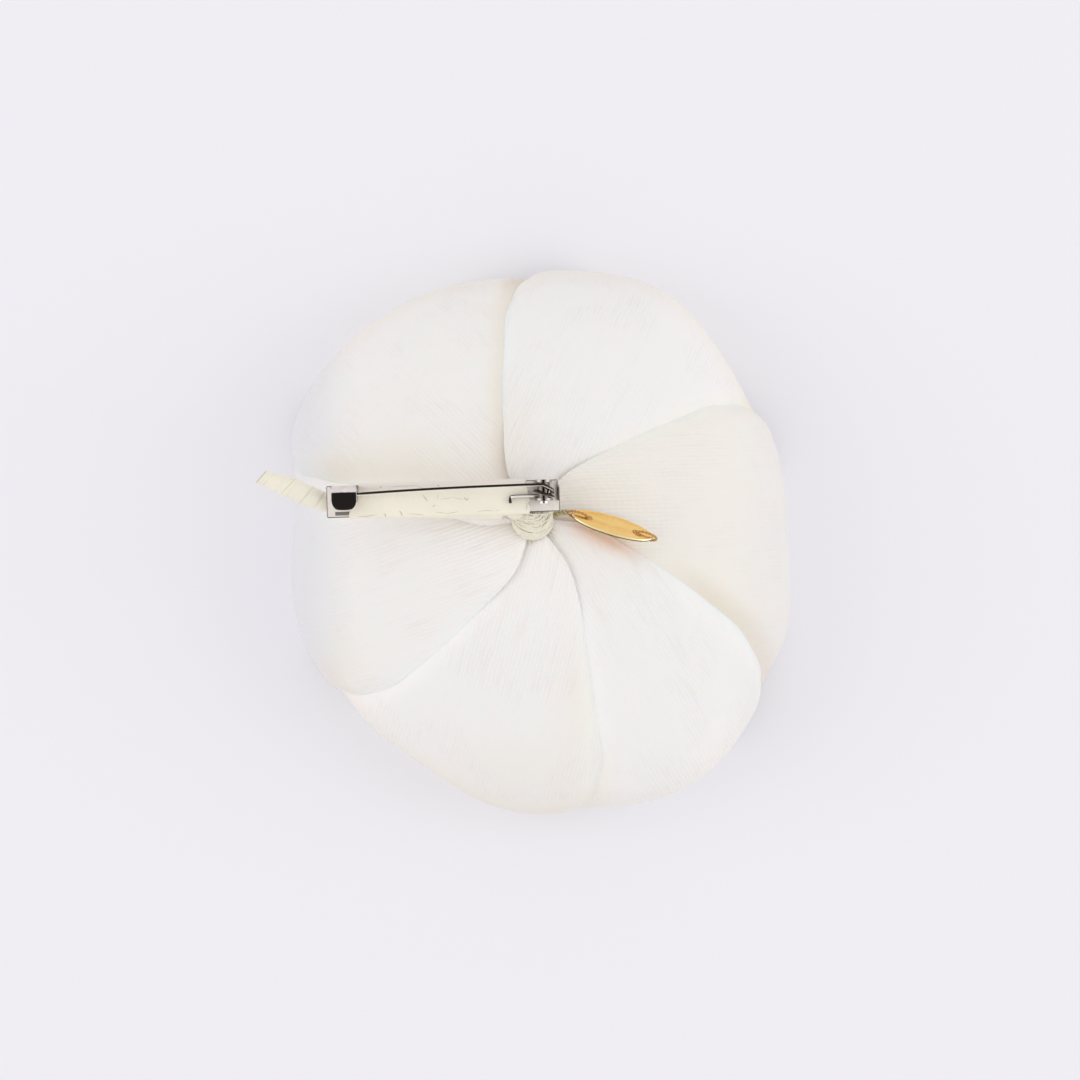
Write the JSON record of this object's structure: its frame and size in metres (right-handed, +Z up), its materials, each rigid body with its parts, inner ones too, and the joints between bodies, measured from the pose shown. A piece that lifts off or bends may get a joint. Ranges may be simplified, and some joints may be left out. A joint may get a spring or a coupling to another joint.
{
  "type": "flower lapel pin",
  "caption": "White silk flower lapel pin lying face down, with a wrapped stem, a bar pin with hinged needle and catch, and a small plain oval tag on a thread.",
  "frame": {"origin": "on the surface that the flower lies face down on, under the middle of its box", "axes": "+Z up through the back of the flower, +X along the bar pin from the catch to the needle's hinge"},
  "size_m": [0.0887, 0.0915, 0.0409],
  "materials": {
    "silk": "matt silk with a faint satin sheen",
    "thread": "wound cotton thread",
    "paper_tape": "crinkled matt paper tape",
    "nickel": "bright nickel plate",
    "steel_wire": "drawn wire",
    "gilt": "satin gilt",
    "gold_thread": "twisted metallic thread"
  },
  "bodies": {
    "brooch": {"outer_petal_1": "silk", "outer_petal_2": "silk", "outer_petal_3": "silk", "outer_petal_4": "silk", "outer_petal_5": "silk", "outer_petal_6": "silk", "second_petal_1": "silk", "second_petal_2": "silk", "second_petal_3": "silk", "second_petal_4": "silk", "second_petal_5": "silk", "second_petal_6": "silk", "third_petal_1": "silk", "third_petal_2": "silk", "third_petal_3": "silk", "third_petal_4": "silk", "third_petal_5": "silk", "inner_petal_1": "silk", "inner_petal_2": "silk", "inner_petal_3": "silk", "inner_petal_4": "silk", "inner_petal_5": "silk", "heart_petal_1": "silk", "heart_petal_2": "silk", "heart_petal_3": "silk", "heart_petal_4": "silk", "bud_petal_1": "silk", "bud_petal_2": "silk", "bud_petal_3": "silk", "thread_binding": "thread", "stem": "paper_tape", "pin_bar": "nickel", "pin_spring": "steel_wire", "pin_tape": "paper_tape", "tag": "gilt", "tag_thread": "gold_thread", "tag_loop": "gold_thread"},
    "needle": {"pin_needle": "steel_wire"}
  },
  "joints": [
    {"name": "needle_hinge", "type": "hinge", "parent": "brooch", "child": "needle", "pos_m": [0.0028, 0.00945, 0.0391], "axis": [-0.0297, 0.9996, 0], "range_deg": [0, 75]}
  ]
}
